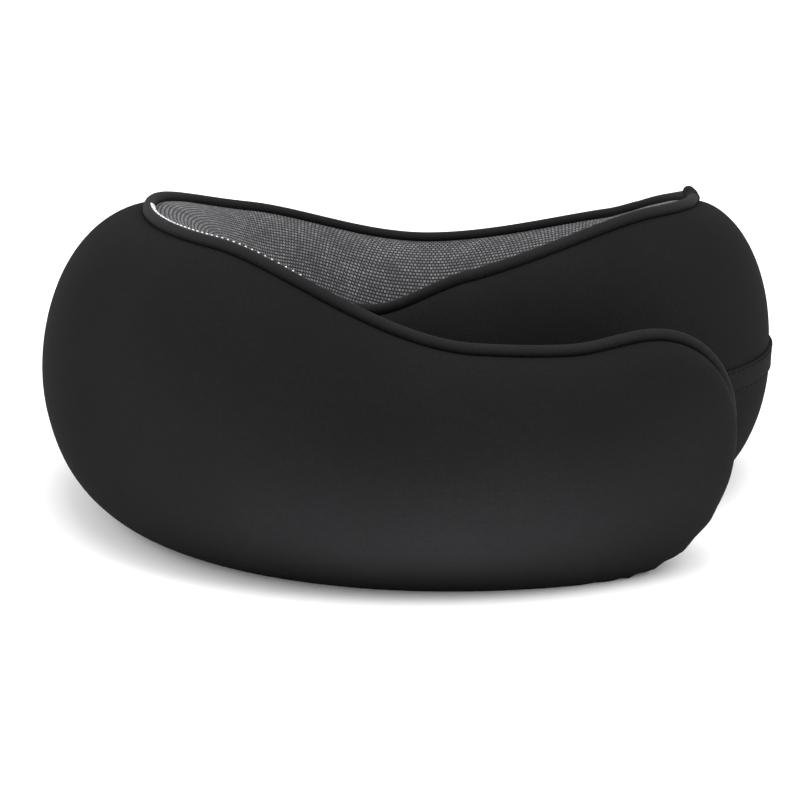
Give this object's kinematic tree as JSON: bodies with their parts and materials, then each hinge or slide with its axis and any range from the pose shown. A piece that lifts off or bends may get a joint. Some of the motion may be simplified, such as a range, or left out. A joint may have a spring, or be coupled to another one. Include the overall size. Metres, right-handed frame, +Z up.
{
  "type": "neck pillow",
  "caption": "Wrap-over horseshoe neck pillow of foam in a knit cover, with overlapping arms, a mesh inner face, a piped rim and a side pocket.",
  "frame": {"origin": "middle of the footprint, on the surface the pillow lies on", "axes": "+Z up, +Y to the back of the neck, +X to the right as seen from the overlapping front"},
  "size_m": [0.2668, 0.2671, 0.1074],
  "materials": {
    "foam": "matte slow-recovery foam",
    "liner": "thin matte knit",
    "knit": "smooth fine knit, matte with a soft sheen",
    "mesh": "open spacer mesh",
    "piping": "rolled knit binding",
    "cord": "twisted cotton cord",
    "hem": "flat elastic hem",
    "zip_tape": "woven tape",
    "zip_teeth": "moulded teeth",
    "zip_metal": "black enamel"
  },
  "bodies": {
    "back": {"foam_core_back": "foam", "foam_liner_back": "liner", "outer_panel_back": "knit", "mesh_panel_back": "mesh", "base_panel_back": "knit", "rim_piping_back": "piping", "rim_cord_back": "cord", "zip_tape_upper": "zip_tape", "zip_tape_lower": "zip_tape", "zip_teeth_upper": "zip_teeth", "zip_teeth_lower": "zip_teeth", "zip_stop_left": "zip_metal", "zip_stop_right": "zip_metal"},
    "left_arm": {"foam_core_left_arm": "foam", "foam_liner_left_arm": "liner", "outer_panel_left_arm": "knit", "mesh_panel_left_arm": "mesh", "base_panel_left_arm": "knit", "rim_piping_left_arm": "piping", "rim_cord_left_arm": "cord"},
    "right_arm": {"foam_core_right_arm": "foam", "foam_liner_right_arm": "liner", "outer_panel_right_arm": "knit", "mesh_panel_right_arm": "mesh", "base_panel_right_arm": "knit", "rim_piping_right_arm": "piping", "rim_cord_right_arm": "cord", "pocket_panel": "knit", "pocket_hem": "hem", "piping_join": "piping"},
    "zip_slider": {"zip_slider": "zip_metal"},
    "zip_pull": {"zip_pull": "zip_metal"}
  },
  "joints": [
    {"name": "left_arm_flex", "type": "hinge", "parent": "back", "child": "left_arm", "pos_m": [-0.12969, 0.02739, 0.05], "axis": [0, 0, -1], "range_deg": [0, 50], "stiffness_Nm_per_rad": 0.6},
    {"name": "right_arm_flex", "type": "hinge", "parent": "back", "child": "right_arm", "pos_m": [0.13008, 0.03799, 0.05], "axis": [0, 0, 1], "range_deg": [0, 25], "stiffness_Nm_per_rad": 0.3},
    {"name": "zip_run", "type": "hinge", "parent": "back", "child": "zip_slider", "pos_m": [0.00663, 0.00356, 0.015], "axis": [0, 0, 1], "range_deg": [0, 60]},
    {"name": "zip_pull_swing", "type": "hinge", "parent": "zip_slider", "child": "zip_pull", "pos_m": [0.07162, 0.11612, 0.01308], "axis": [-0.2041, -0.3536, -0.9129], "range_deg": [0, 150]}
  ],
  "couplings": [
    {"joint": "right_arm_flex", "follows": "left_arm_flex", "ratio": 0.5}
  ]
}
